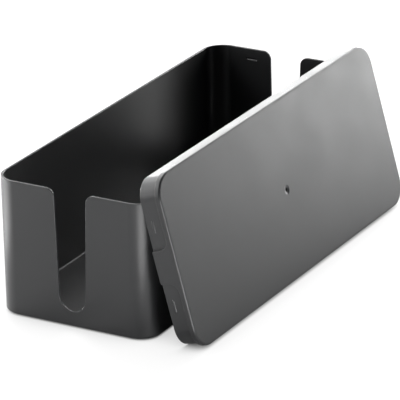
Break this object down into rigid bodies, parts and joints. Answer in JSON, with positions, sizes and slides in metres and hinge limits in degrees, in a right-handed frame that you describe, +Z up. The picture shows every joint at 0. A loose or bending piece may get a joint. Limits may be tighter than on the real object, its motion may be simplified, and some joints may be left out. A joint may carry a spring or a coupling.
{
  "type": "cable management box",
  "caption": "Open moulded box with a tapered cable slot in each end, a lift-off lid with tabs that fill the slots' tops, and foot pads; lid taken off and leaning on the rim.",
  "frame": {"origin": "on the table under the middle of the tub; the tub's underside is 1 mm above it, on foot pads", "axes": "+X along the length; the lid leans on the -Y long side; +Z up"},
  "size_m": [0.407, 0.2052, 0.1541],
  "materials": {
    "tub_plastic": "fine satin moulded finish, anthracite",
    "lid_plastic": "fine satin moulded finish, anthracite grey",
    "foot_rubber": "matt soft pad"
  },
  "bodies": {
    "tub": {"box": "tub_plastic", "foot_front_left": "foot_rubber", "foot_front_right": "foot_rubber", "foot_back_left": "foot_rubber", "foot_back_right": "foot_rubber"},
    "lid": {"lid": "lid_plastic"}
  },
  "joints": [
    {"name": "lid_lift", "type": "slide", "parent": "tub", "child": "lid", "axis": [0, 0, 1], "range_m": [0, 0.15]}
  ]
}
